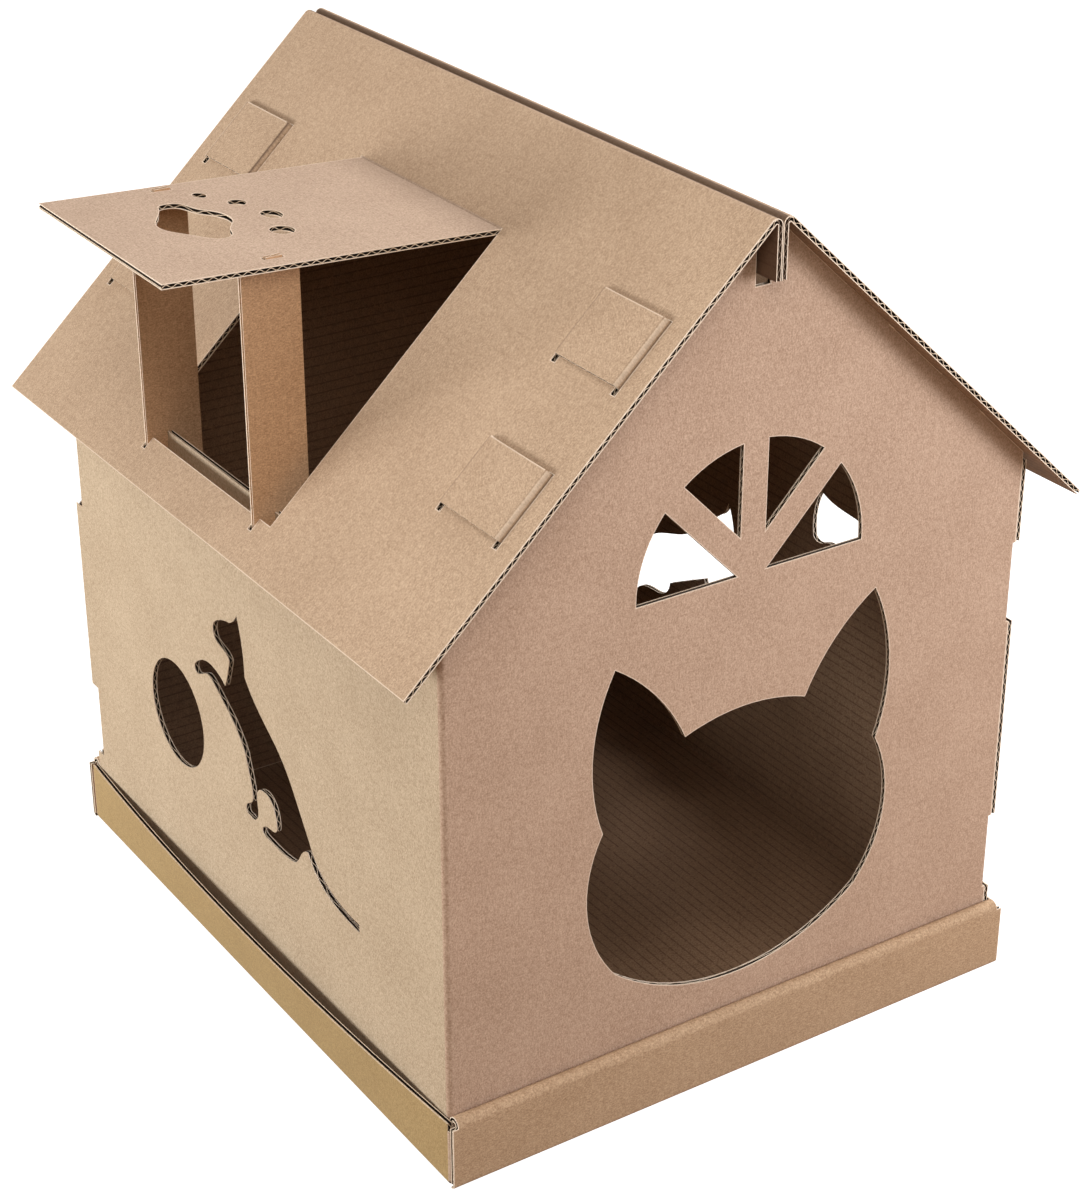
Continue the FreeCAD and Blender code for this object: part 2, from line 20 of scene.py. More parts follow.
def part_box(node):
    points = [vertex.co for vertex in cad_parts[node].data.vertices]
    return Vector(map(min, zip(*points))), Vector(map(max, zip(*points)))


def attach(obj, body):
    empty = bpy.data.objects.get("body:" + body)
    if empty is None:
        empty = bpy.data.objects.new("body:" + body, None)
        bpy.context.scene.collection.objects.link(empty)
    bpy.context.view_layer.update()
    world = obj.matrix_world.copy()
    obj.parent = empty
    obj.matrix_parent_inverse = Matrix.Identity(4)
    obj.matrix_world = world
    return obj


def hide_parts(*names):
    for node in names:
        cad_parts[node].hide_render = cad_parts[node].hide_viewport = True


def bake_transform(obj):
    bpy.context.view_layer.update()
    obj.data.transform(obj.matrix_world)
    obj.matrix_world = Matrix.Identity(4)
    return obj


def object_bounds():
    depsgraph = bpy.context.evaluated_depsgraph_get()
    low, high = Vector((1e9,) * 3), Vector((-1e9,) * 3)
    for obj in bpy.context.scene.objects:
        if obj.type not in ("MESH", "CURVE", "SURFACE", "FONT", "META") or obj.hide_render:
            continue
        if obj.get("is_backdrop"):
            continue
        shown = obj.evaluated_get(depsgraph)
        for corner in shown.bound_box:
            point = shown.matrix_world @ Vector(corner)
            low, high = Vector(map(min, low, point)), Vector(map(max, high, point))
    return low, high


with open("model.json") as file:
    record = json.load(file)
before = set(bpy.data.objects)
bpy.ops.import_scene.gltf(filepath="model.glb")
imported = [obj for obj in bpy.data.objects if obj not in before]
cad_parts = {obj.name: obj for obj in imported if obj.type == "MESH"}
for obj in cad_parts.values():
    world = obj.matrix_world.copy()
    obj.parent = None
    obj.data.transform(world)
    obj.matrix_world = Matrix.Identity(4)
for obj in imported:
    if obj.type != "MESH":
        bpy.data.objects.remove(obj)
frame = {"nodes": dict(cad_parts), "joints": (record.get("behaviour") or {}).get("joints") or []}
cad_low, cad_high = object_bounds()
print("the solids reach from", [round(v, 4) for v in cad_low], "to", [round(v, 4) for v in cad_high])

# %% [markdown]
# ## Sizes of the board
# Single-wall board with a fine flute is 3 mm thick. A liner is a heavy paper of about 0.4 mm,
# and the middle is a lighter paper that waves with a pitch of 6.4 mm. The folds are where the
# board was creased: the outer liner runs round a curve as large as the board is thick.

# %% Sizes in metres
MM = 0.001
BOARD = 3.0 * MM
LINER = 0.45 * MM
PAPER = 0.5 * MM
FLUTE = 6.4 * MM
STEPS_A_FLUTE = 8
WAVE_HEIGHT = (BOARD - 2 * LINER - PAPER) / 2
TINY = 1e-5
FOLD_STEPS = 6

house_x = -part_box("left_wall")[0].x
house_y = -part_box("front_wall")[0].y
wall_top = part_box("left_wall")[1].z
tray_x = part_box("tray_floor")[1].x + BOARD
tray_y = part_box("tray_floor")[1].y + BOARD
ridge_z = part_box("roof_left")[1].z
eave_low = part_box("roof_right")[0].z
print("house", round(2 * house_x, 4), "by", round(2 * house_y, 4), "and the ridge at", round(ridge_z, 4))

# %% [markdown]
# ## The flat outline of a sheet
# A sheet's solid has two large flat faces. One of them is the die-cut outline with all its
# holes. It is read as triangles, merged into one flat net and laid out in the sheet's own two
# directions. From there on the work is like that of a box maker, who draws flat and folds later.

# %% Reading an outline
def outline_of(node, normal, origin, first, second):
    """The flat net of a node's face that looks along normal and passes through origin."""
    mesh = frame["nodes"][node].data
    mesh.calc_loop_triangles()
    flat = bmesh.new()
    known = {}

    def corner(index):
        place = mesh.vertices[index].co - origin
        key = (round(place.dot(first), 6), round(place.dot(second), 6))
        if key not in known:
            known[key] = flat.verts.new((key[0], key[1], 0))
        return known[key]

    for tri in mesh.loop_triangles:
        points = [mesh.vertices[i].co for i in tri.vertices]
        turned = (points[1] - points[0]).cross(points[2] - points[0])
        if turned.length < 1e-12 or turned.normalized().dot(normal) < 0.999:
            continue
        if max(abs((p - origin).dot(normal)) for p in points) > 2e-5:
            continue
        corners = [corner(i) for i in tri.vertices]
        if len(set(corners)) == 3 and not flat.faces.get(corners):
            flat.faces.new(corners)
    return flat


def rectangle(p_low, p_high, q_low, q_high):
    """A plain sheet, cut as a rectangle."""
    flat = bmesh.new()
    flat.faces.new([flat.verts.new((p, q, 0)) for p, q in
                    ((p_low, q_low), (p_high, q_low), (p_high, q_high), (p_low, q_high))])
    return flat


def grow(flat, line, reach):
    """Push the straight edge at p = line out to p = reach, for a fold or a flange."""
    edges = [e for e in flat.edges if e.is_boundary and all(abs(v.co.x - line) < TINY for v in e.verts)]
    made = bmesh.ops.extrude_edge_only(flat, edges=edges)["geom"]
    for vert in made:
        if isinstance(vert, bmesh.types.BMVert):
            vert.co.x = reach


def crease(flat, lines):
    """Cut the net along lines, each a point and a direction square to it, so that it can bend."""
    for point, square in lines:
        bmesh.ops.bisect_plane(flat, geom=flat.verts[:] + flat.edges[:] + flat.faces[:],
                               plane_co=(*point, 0), plane_no=(*square, 0), dist=1e-7)


def fold_lines(start, end, steps=FOLD_STEPS, square=(1, 0)):
    """Lines that divide a fold between two places along a direction."""
    return [((square[0] * at, square[1] * at), square)
            for at in (start + (end - start) * k / steps for k in range(steps + 1))]


# %% [markdown]
# ## The wavy middle
# The middle could be cut from a waved plane with a boolean, but that is slow and leaves stray
# slivers. Here the outline is read line by line instead, as a printer would: at eight levels in
# every flute the outline is crossed, and the pieces of line that lie inside the sheet are
# joined to those of the next level. Each joined pair is one facet of the wave.

# %% Strips across the flutes
def crossings(segments, level):
    """Where the line at one level meets the outline, in order."""
    found = []
    for (a0, f0), (a1, f1) in segments:
        if (a0 <= level) != (a1 <= level):
            found.append(f0 + (f1 - f0) * (level - a0) / (a1 - a0))
    return sorted(found)


def fluted_net(flat, wave):
    """The same outline as a net of strips, cut at every step of the wave."""
    along = Vector((-wave.y, wave.x))
    segments = [tuple((v.co.xy.dot(wave), v.co.xy.dot(along)) for v in e.verts)
                for e in flat.edges if e.is_boundary]
    low = min(min(a[0], b[0]) for a, b in segments)
    high = max(max(a[0], b[0]) for a, b in segments)
    step = FLUTE / STEPS_A_FLUTE
    levels = [low + TINY / 5]
    levels += [k * step for k in range(math.ceil((low + step / 5) / step), math.floor((high - step / 5) / step) + 1)]
    levels.append(high - TINY / 5)
    net = bmesh.new()
    known = {}

    def corner(a, f):
        key = (round(a, 7), round(f, 7))
        if key not in known:
            known[key] = net.verts.new((*(wave * a + along * f), 0))
        return known[key]

    rows = [crossings(segments, a) for a in levels]
    for (a0, row0), (a1, row1) in zip(zip(levels, rows), zip(levels[1:], rows[1:])):
        middle = crossings(segments, (a0 + a1) / 2)
        if len(row0) != len(middle):
            row0 = middle
        if len(row1) != len(middle):
            row1 = middle
        for k in range(0, len(middle) - 1, 2):
            corners = [corner(a0, row0[k]), corner(a0, row0[k + 1]), corner(a1, row1[k + 1]), corner(a1, row1[k])]
            if len(set(corners)) == 4:
                net.faces.new(corners)
    return net


# %% [markdown]
# ## From the flat net to board
# A liner is the net at two depths, and the middle is the fluted net at two depths that follow
# a sine. The same function places both: it takes a point of the flat sheet and a depth below its
# outer face, and gives the place in the world, folds included. Every point also keeps its flat
# coordinates in an attribute, so that a material knows the way of the fibres and the flutes.

# %% Building a sheet
OUTER, INNER, CUT, MIDDLE = range(4)
# A painted highlight runs along every cut edge. Within RIM of the edge, both liners take the pale tone where light
# would catch the board's edge.
RIM = 0.6 * MM
RIM_HIGHLIGHT = 1.0


def add_layer(parts, net, wave, place, tint, rim, upper, lower, slots):
    """One layer of paper: the net at two depths, with walls along its edges."""
    along = Vector((-wave.y, wave.x))
    first = len(parts["verts"])
    net.verts.index_update()
    count = len(net.verts)
    for depth_at in (upper, lower):
        for vert in net.verts:
            a, f = vert.co.xy.dot(wave), vert.co.xy.dot(along)
            depth = depth_at(a)
            parts["verts"].append(place(vert.co.x, vert.co.y, depth))
            parts["flat"].append((a, f, depth))
            here = tint(vert.co.x, vert.co.y)
            parts["tint"].append(max(here, rim(vert.co.x, vert.co.y)) if vert.is_boundary else here)
    for face in net.faces:
        around = [first + v.index for v in face.verts]
        parts["faces"].append(around)
        parts["slots"].append(slots[0])
        parts["faces"].append([i + count for i in reversed(around)])
        parts["slots"].append(slots[1])
    for edge in net.edges:
        if edge.is_boundary:
            loop = edge.link_loops[0]
            one = first + loop.vert.index
            two = first + loop.link_loop_next.vert.index
            parts["faces"].append([two, one, one + count, two + count])
            parts["slots"].append(slots[2])


def wave_depth(a):
    return BOARD / 2 - WAVE_HEIGHT * math.sin(2 * math.pi * a / FLUTE)


def board_sheet(name, nodes, body, flat, place, wave, finish, folds=(), joins=None, tint=lambda p, q: 0.0,
                joined=lambda p, q: False):
    """Corrugated board in the shape of a flat net, placed and folded by place()."""
    wave = Vector(wave)
    parts = {"verts": [], "flat": [], "tint": [], "faces": [], "slots": []}
    middle = fluted_net(flat, wave)

    # rim() gives the painted highlight at cut edges, and none where the sheet is joined.
    def rim(p, q):
        return -1 if joined(p, q) else RIM_HIGHLIGHT

    bmesh.ops.inset_region(flat, faces=flat.faces[:], thickness=RIM, use_even_offset=True, use_boundary=True)
    crease(flat, folds)
    crease(middle, folds)
    add_layer(parts, flat, wave, place, tint, rim, lambda a: 0, lambda a: LINER, (OUTER, MIDDLE, CUT))
    add_layer(parts, flat, wave, place, tint, rim, lambda a: BOARD - LINER, lambda a: BOARD, (MIDDLE, INNER, CUT))
    add_layer(parts, middle, wave, place, tint, lambda p, q: -1, lambda a: wave_depth(a) - PAPER / 2,
              lambda a: wave_depth(a) + PAPER / 2, (MIDDLE, MIDDLE, CUT))
    mesh = bpy.data.meshes.new(name)
    mesh.from_pydata(parts["verts"], [], parts["faces"])
    mesh.polygons.foreach_set("material_index", parts["slots"])
    mesh.attributes.new("flat_place", "FLOAT_VECTOR", "POINT").data.foreach_set(
        "vector", [v for p in parts["flat"] for v in p])
    # This attribute carries each point's painted highlight and painted shade.
    mesh.attributes.new("painted_light_tint", "FLOAT", "POINT").data.foreach_set("value", parts["tint"])
    for material in finish:
        mesh.materials.append(material)
    tidy = bmesh.new()
    tidy.from_mesh(mesh)
    bmesh.ops.recalc_face_normals(tidy, faces=tidy.faces[:])
    tidy.to_mesh(mesh)
    tidy.free()
    piece = bpy.data.objects.new(name, mesh)
    bpy.context.scene.collection.objects.link(piece)
    if joins:
        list(joins["bodies"])
        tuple(joins["start"])
        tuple(joins["end"])
        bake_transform(piece)
    else:
        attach(piece, body)
    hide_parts(*nodes)
    made.append(piece)
    flat.free()
    middle.free()
    return piece


made = []

# %% [markdown]
# ## Node groups for kraft paper
# Kraft paper is brown all through, with long fibres that lie mostly one way, darker specks,
# soft clouds where the pulp is thicker, and faint lines where the liner is glued to the tops of
# the flutes. Each of these is a node group, because the outside, the inside and the cut edges
# all use them with other values. A group gives out only colours, masks and heights.

# %% Small helpers for node trees
def new_group(name, inputs, outputs):
    group = bpy.data.node_groups.new(name, "ShaderNodeTree")
    for label, kind, value in inputs:
        socket = group.interface.new_socket(label, in_out="INPUT", socket_type=kind)
        if value is not None:
            socket.default_value = value
    for label, kind in outputs:
        group.interface.new_socket(label, in_out="OUTPUT", socket_type=kind)
    return group, group.nodes.new("NodeGroupInput"), group.nodes.new("NodeGroupOutput")


def node(tree, kind, values=(), **settings):
    """A node with its settings, and values or links for its inputs by name or number."""
    item = tree.nodes.new(kind)
    for key, value in settings.items():
        setattr(item, key, value)
    for key, value in dict(values).items():
        if isinstance(value, bpy.types.NodeSocket):
            tree.links.new(value, item.inputs[key])
        else:
            item.inputs[key].default_value = value
    return item


def maths(tree, operation, *values):
    return node(tree, "ShaderNodeMath", enumerate(values), operation=operation).outputs[0]


# %% Fibres, specks and clouds
def make_fibre_group():
    """Value of the paper from 0 to 1 round one half, and its fine height."""
    group, given, out = new_group(
        "kraft_fibres",
        [("Place", "NodeSocketVector", None), ("Fibre", "NodeSocketFloat", 0.5),
         ("Specks", "NodeSocketFloat", 0.5), ("Clouds", "NodeSocketFloat", 0.5)],
        [("Tone", "NodeSocketFloat"), ("Height", "NodeSocketFloat")])
    stretched = node(group, "ShaderNodeMapping", {"Vector": given.outputs["Place"], "Scale": (520, 1500, 900)})
    fibre = node(group, "ShaderNodeTexNoise", {"Vector": stretched.outputs[0], "Scale": 1.0, "Detail": 2.0,
                                               "Roughness": 0.6, "Distortion": 0.8})
    grain = node(group, "ShaderNodeTexNoise", {"Vector": given.outputs["Place"], "Scale": 950.0, "Detail": 2.0,
                                               "Roughness": 0.75})
    mottle = node(group, "ShaderNodeTexNoise", {"Vector": given.outputs["Place"], "Scale": 260.0, "Detail": 3.0,
                                                "Roughness": 0.6})
    clouds = node(group, "ShaderNodeTexNoise", {"Vector": given.outputs["Place"], "Scale": 22.0, "Detail": 3.0,
                                                "Roughness": 0.55})
    specks = node(group, "ShaderNodeTexNoise", {"Vector": given.outputs["Place"], "Scale": 480.0, "Detail": 1.0})
    dark = node(group, "ShaderNodeMapRange", {"Value": specks.outputs[0], "From Min": 0.7, "From Max": 0.78,
                                              "To Min": 0.0, "To Max": 1.0})

    def swing(texture, share):
        return maths(group, "MULTIPLY", maths(group, "SUBTRACT", texture.outputs[0], 0.5), share)

    fine = maths(group, "ADD", maths(group, "ADD", swing(fibre, 1.0), swing(grain, 1.5)), swing(mottle, 0.5))
    tone = maths(group, "ADD", 0.5, maths(group, "MULTIPLY", fine, given.outputs["Fibre"]))
    tone = maths(group, "ADD", tone, maths(group, "MULTIPLY", swing(clouds, 1.0), given.outputs["Clouds"]))
    tone = maths(group, "SUBTRACT", tone, maths(group, "MULTIPLY", dark.outputs[0], given.outputs["Specks"]))
    group.links.new(tone, out.inputs["Tone"])
    group.links.new(fine, out.inputs["Height"])
    return group


# %% The washboard of the flutes
def make_washboard_group():
    """A mask that is 1 on the glued tops of the flutes, and the soft height of the liner."""
    group, given, out = new_group(
        "flute_washboard", [("Place", "NodeSocketVector", None), ("Broken", "NodeSocketFloat", 0.3)],
        [("Lines", "NodeSocketFloat"), ("Height", "NodeSocketFloat")])
    parts = node(group, "ShaderNodeSeparateXYZ", {"Vector": given.outputs["Place"]})
    turn = maths(group, "MULTIPLY", parts.outputs[0], 2 * math.pi / FLUTE)
    height = maths(group, "SINE", turn)
    patchy = node(group, "ShaderNodeTexNoise", {"Vector": given.outputs["Place"], "Scale": 300.0, "Detail": 3.0})
    line = node(group, "ShaderNodeMapRange", {"Value": height, "From Min": 0.8, "From Max": 0.98,
                                              "To Min": 0.0, "To Max": 1.0})
    kept = node(group, "ShaderNodeMapRange", {"Value": patchy.outputs[0], "From Min": given.outputs["Broken"],
                                              "From Max": 0.6, "To Min": 0.0, "To Max": 1.0})
    group.links.new(maths(group, "MULTIPLY", line.outputs[0], kept.outputs[0]), out.inputs["Lines"])
    group.links.new(height, out.inputs["Height"])
    return group


kraft_fibres = make_fibre_group()
flute_washboard = make_washboard_group()
print("node groups:", kraft_fibres.name, flute_washboard.name)

# %% [markdown]
# ## The finishes
# A colour from a photograph is written for a screen, while a shader works in linear light, so
# each colour is given as the screen shows it and changed once. The light and the dark tone of a
# paper are close together: the eye reads the paper from many small differences.

# %% Finishes of the board
def screen(red, green, blue):
    """Linear light of a colour that is given as it looks on a screen, from 0 to 255."""
    shares = [value / 255 for value in (red, green, blue)]
    return (*[s / 12.92 if s <= 0.04045 else ((s + 0.055) / 1.055) ** 2.4 for s in shares], 1.0)


# Painted light: the pale tone is a painted highlight and the dark tone is painted shade.
HIGHLIGHT_TONE = (240, 221, 200)
SHADE_TONE = (84, 62, 47)


def kraft(name, dark, light, fibre=1.4, specks=0.3, clouds=0.4, lines=0.06, ribs_high=0.002, bump=0.25,
          roughness=0.8):
    material = bpy.data.materials.new(name)
    material.use_nodes = True
    tree = material.node_tree
    tree.nodes.clear()
    place = node(tree, "ShaderNodeAttribute", attribute_name="flat_place").outputs["Vector"]
    fibres = node(tree, "ShaderNodeGroup", node_tree=kraft_fibres)
    ribs = node(tree, "ShaderNodeGroup", node_tree=flute_washboard)
    for group in (fibres, ribs):
        tree.links.new(place, group.inputs["Place"])
    for key, value in (("Fibre", fibre), ("Specks", specks), ("Clouds", clouds)):
        fibres.inputs[key].default_value = value
    tone = maths(tree, "SUBTRACT", fibres.outputs["Tone"], maths(tree, "MULTIPLY", ribs.outputs["Lines"], lines))
    ramp = node(tree, "ShaderNodeMix", {0: tone, 6: screen(*dark), 7: screen(*light)}, data_type="RGBA")
    # A tint above 0 mixes in the painted highlight, and a tint below 0 mixes in the painted shade.
    tint = node(tree, "ShaderNodeAttribute", attribute_name="painted_light_tint").outputs["Fac"]
    with_highlight = node(tree, "ShaderNodeMix", {0: maths(tree, "MAXIMUM", tint, 0.0), 6: ramp.outputs[2],
                                        7: screen(*HIGHLIGHT_TONE)}, data_type="RGBA")
    with_shade = node(tree, "ShaderNodeMix", {0: maths(tree, "MAXIMUM", maths(tree, "MULTIPLY", tint, -1.0), 0.0),
                                        6: with_highlight.outputs[2], 7: screen(*SHADE_TONE)}, data_type="RGBA")
    height = maths(tree, "ADD", maths(tree, "MULTIPLY", fibres.outputs["Height"], 0.05 * MM),
                   maths(tree, "MULTIPLY", ribs.outputs["Height"], ribs_high * MM))
    relief = node(tree, "ShaderNodeBump", {"Height": height, "Strength": bump, "Distance": 1.0})
    rough = maths(tree, "ADD", roughness, maths(tree, "MULTIPLY", fibres.outputs["Height"], 0.15))
    shader = node(tree, "ShaderNodeBsdfPrincipled", {"Base Color": with_shade.outputs[2], "Roughness": rough,
                                                     "Normal": relief.outputs[0]})
    shader.inputs["Specular IOR Level"].default_value = 0.25
    end = node(tree, "ShaderNodeOutputMaterial")
    tree.links.new(shader.outputs[0], end.inputs["Surface"])
    return material


# The outer liner is one paper. Its copies below carry painted light and shade in their colours: the gables and the
# rolled tray walls are darker and redder for the half shade at the front, the roof is darker than the flap that was cut
# from it, the side walls are yellower for the light from the left, and the posts are more orange for the warm light
# bounced under the flap. The tray's side walls are given a more olive tone.
liner_outside = kraft("kraft_liner_outside", (164, 138, 117), (213, 188, 167))
liner_roof = kraft("kraft_liner_roof", (155, 127, 102), (203, 176, 149))
liner_side = kraft("kraft_liner_side", (156, 133, 107), (205, 185, 159))
liner_post = kraft("kraft_liner_post", (163, 126, 92), (213, 174, 138))
liner_front = kraft("kraft_liner_front", (157, 127, 105), (205, 177, 155))
liner_rolled = kraft("kraft_liner_rolled", (155, 124, 95), (203, 174, 143))
liner_tray = kraft("kraft_liner_tray", (143, 117, 78), (183, 156, 111))
# The inner liner is painted darker than the outer one: painted shade for the dim inside of the house and of the tray
# under it.
liner_inside = kraft("kraft_liner_inside_shaded", (118, 91, 70), (170, 137, 108), lines=0.9, clouds=0.5, ribs_high=0.01)
cut_paper = kraft("kraft_cut_edge", (176, 152, 126), (244, 226, 202), lines=0.0, bump=0.5)
# The fluting and the hidden inner sides of the liners are painted nearly black: painted shade for the narrow gaps
# between the liners.
fluting = kraft("kraft_fluting_shaded", (34, 25, 19), (66, 50, 38), lines=0.0)
outside = (liner_outside, liner_inside, cut_paper, fluting)
roof_side = (liner_roof, liner_inside, cut_paper, fluting)
wall_side = (liner_side, liner_inside, cut_paper, fluting)
front_side = (liner_front, liner_inside, cut_paper, fluting)
rolled_side = (liner_rolled, liner_inside, cut_paper, fluting)
post_side = (liner_post, liner_post, cut_paper, liner_post)
tray_side = (liner_tray, liner_inside, cut_paper, fluting)
tray_base = (liner_inside, liner_outside, cut_paper, fluting)
print("finishes:", [m.name for m in bpy.data.materials])

# %% [markdown]
# ## Walls
# Two sheets make the house. Each is one gable and one side wall, joined by a fold, and the free
# end of each gable is hooked into slots of the other sheet. The flutes lie level, so the
# upright cut edges show the waves. The solids meet square at the folds: here the last 3 mm of
# the gable is wrapped round the corner as a quarter ring, which is how creased board looks.

# %% Gables
X, Y, Z = Vector((1, 0, 0)), Vector((0, 1, 0)), Vector((0, 0, 1))


def gable_place(turn):
    """Places points of a gable, given as across and up, for the front (1) or the back (-1)."""
    def place(p, q, depth):
        near = -house_x + BOARD
        if p < near:
            angle = (near - p) / BOARD * math.pi / 2
            reach = BOARD - depth
            x = near - reach * math.sin(angle)
            y = -house_y + BOARD - reach * math.cos(angle)
        else:
            x, y = p, -house_y + depth
        return Vector((turn * x, turn * y, q))
    return place


def without(flat, p_low, p_high, q_low, q_high):
    """Cut a rectangle out of a net at its edge."""
    crease(flat, [((p_low, 0), (1, 0)), ((p_high, 0), (1, 0)), ((0, q_low), (0, 1)), ((0, q_high), (0, 1))])
    inside = [f for f in flat.faces if p_low < f.calc_center_median().x < p_high
              and q_low < f.calc_center_median().y < q_high]
    bmesh.ops.delete(flat, geom=inside, context="FACES")
    bmesh.ops.dissolve_limit(flat, angle_limit=0.001, verts=flat.verts[:], edges=flat.edges[:])
    bmesh.ops.triangulate(flat, faces=flat.faces[:])


corner_folds = fold_lines(-house_x, -house_x + BOARD)
for end, turn in (("front", 1), ("back", -1)):
    inner_face = Vector((0, turn * (-house_y + BOARD), 0))
    net = outline_of(end + "_wall", turn * Y, inner_face, turn * X, Z)
    hooks = [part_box(f"{end}_hook_{level}") for level in ("lower", "upper")]
    for low, high in hooks:
        without(net, house_x - 2 * BOARD, house_x, low.z, high.z)

    def joined(p, q):
        """True at the corner fold and at the roots of the hooks, where the paper isn't cut."""
        at_hook = any(low.z - TINY < q < high.z + TINY for low, high in hooks)
        return p < -house_x + TINY or (at_hook and abs(p - house_x + 2 * BOARD) < TINY)

    board_sheet(end + "_wall_board", [end + "_wall"], "house", net, gable_place(turn), (0, 1),
                front_side, corner_folds, joined=joined)
print("gables:", [len(o.data.polygons) for o in made])


# %% Side walls
def side_place(turn):
    """Places points of a side wall, given as along and up, for the left (1) or the right (-1)."""
    return lambda p, q, depth: Vector((turn * (-house_x + depth), turn * p, q))


for side, turn in (("left", 1), ("right", -1)):
    outer_face = Vector((turn * -house_x, 0, 0))
    net = outline_of(side + "_wall", -turn * X, outer_face, turn * Y, Z)
    fold_at = min(v.co.x for v in net.verts)
    board_sheet(side + "_wall_board", [side + "_wall"], "house", net, side_place(turn), (0, 1), wall_side,
                joined=lambda p, q, fold_at=fold_at: p < fold_at + TINY)
print("side walls:", [len(o.data.polygons) for o in made[2:]])


# %% Hooks of the gables
def hook_place(turn):
    """Places points of a hook, given as along the fold's path and up."""
    def place(p, q, depth):
        if p < 0:
            angle = -p / BOARD * math.pi / 2
            reach = BOARD - depth
            x = house_x - 2 * BOARD + reach * math.cos(angle)
            y = -house_y + BOARD - reach * math.sin(angle)
        else:
            x, y = house_x - BOARD - depth, -house_y + BOARD + p
        return Vector((turn * x, turn * y, q))
    return place


for end, turn in (("front", 1), ("back", -1)):
    for level in ("lower", "upper"):
        node_name = f"{end}_hook_{level}"
        origin = Vector((turn * (house_x - BOARD), turn * (-house_y + BOARD), 0))
        net = outline_of(node_name, turn * X, origin, turn * Y, Z)
        grow(net, 0, -BOARD)
        board_sheet(node_name + "_board", [node_name], "house", net, hook_place(turn), (0, 1),
                    front_side, fold_lines(-BOARD, 0), joined=lambda p, q: p < -BOARD + TINY)

# %% [markdown]
# ## Roof
# Each slope is one sheet that turns down over the ridge into a short flange, and the two
# flanges stand back to back in the gables' notches. The flutes run along the ridge, so the
# sloping end edges show the waves: that is where the photograph shows them best. The flat net
# is measured down the slope, and the part above the ridge line is bent round the ridge.

# %% Slopes, ridge and flanges
PITCH = math.radians(43.2)
RIDGE_GAP = 0.25 * MM
INNER_BEND = 0.8 * MM
OUTER_BEND = INNER_BEND + BOARD
MIDDLE_BEND = INNER_BEND + BOARD / 2
bend_x = RIDGE_GAP + OUTER_BEND
bend_z = ridge_z - OUTER_BEND
apex = bend_z + (OUTER_BEND + math.sin(PITCH) * bend_x) / math.cos(PITCH)
slope_start = bend_x * math.cos(PITCH) + (apex - bend_z) * math.sin(PITCH)
bend_length = MIDDLE_BEND * (PITCH + math.pi / 2)
flange_length = bend_z - (ridge_z - 32.3 * MM)
DOWN = Vector((math.cos(PITCH), 0, -math.sin(PITCH)))
OUTWARD = Vector((math.sin(PITCH), 0, math.cos(PITCH)))
print("apex of the slopes", round(apex, 5), "ridge fold", round(bend_length, 5))


def slope_point(down, y, out, side):
    """A point down the slope, along Y and above its outer face, on the right (1) or left (-1)."""
    point = Vector((0, y, apex)) + DOWN * down + OUTWARD * out
    return Vector((side * point.x, point.y, point.z))


def roof_place(side):
    def place(p, q, depth):
        past = slope_start - p
        if past <= 0:
            return slope_point(p, q, -depth, side)
        angle = PITCH - past / MIDDLE_BEND
        if past < bend_length:
            x = bend_x + (OUTER_BEND - depth) * math.sin(angle)
            z = bend_z + (OUTER_BEND - depth) * math.cos(angle)
        else:
            x = RIDGE_GAP + depth
            z = bend_z - (past - bend_length)
        return Vector((side * x, q, z))
    return place


def roof_net(side, node_name):
    outward = Vector((side * OUTWARD.x, 0, OUTWARD.z))
    down = Vector((side * DOWN.x, 0, DOWN.z))
    net = outline_of(node_name, outward, Vector((0, 0, apex)), down, Y)
    grow(net, min(v.co.x for v in net.verts), slope_start - bend_length - flange_length)
    return net


hinge = next(j for j in frame["joints"] if j["name"] == "skylight_hinge")
hinge_at = Vector(hinge["pos_m"])
hinge_line = Vector((hinge_at.x, 0, hinge_at.z))
left_down = Vector((-DOWN.x, 0, DOWN.z))
ROOF_EDGE = -1.8 * MM
flap_edge = (hinge_line - Vector((0, 0, apex))).dot(left_down) + ROOF_EDGE
flap_half = (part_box("skylight_flap")[1].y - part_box("skylight_flap")[0].y) / 2


def at_flap(p, q):
    """True on the edge of the left slope that the flap grows out of."""
    return abs(p - flap_edge) < TINY and abs(q - hinge_at.y) < flap_half + MM


def ridge_painted_shade(p, q):
    """Painted shade on the ridge fold, on the side that faces the narrow gap between the flanges."""
    angle = PITCH - (slope_start - p) / MIDDLE_BEND
    return -0.8 if angle < -0.15 else 0.0


for side_name, side in (("left", -1), ("right", 1)):
    node_name = "roof_" + side_name
    folds = fold_lines(slope_start - bend_length, slope_start, 2 * FOLD_STEPS) + fold_lines(flap_edge + RIM, flap_edge + MM, 1)
    board_sheet(node_name + "_board", [node_name], "house", roof_net(side, node_name), roof_place(side), (1, 0),
                roof_side, folds, None, ridge_painted_shade, at_flap)
print("roof:", [len(o.data.polygons) for o in made[-2:]])

# %% [markdown]
# ## Lock tabs
# A tab grows out of the gable through a slit, folds over flat on the roof and tucks its end
# down into a second slit. It is part of the gable's sheet, so its flutes lie level in the
# gable's plane and cross the tab at the roof's pitch. The quarter ring at its root bends as
# creased board does.

# %% Tabs
TAB_WIDTH = 41.0 * MM
TAB_STARTS = {"upper": 75.5 * MM, "lower": 168.5 * MM}
TAB_END_Y = house_y - BOARD / 2 - 53.5 * MM
TONGUE = 2.6 * MM
ring = math.pi / 4 * BOARD
flat_length = (house_y - BOARD) - (TAB_END_Y + BOARD)


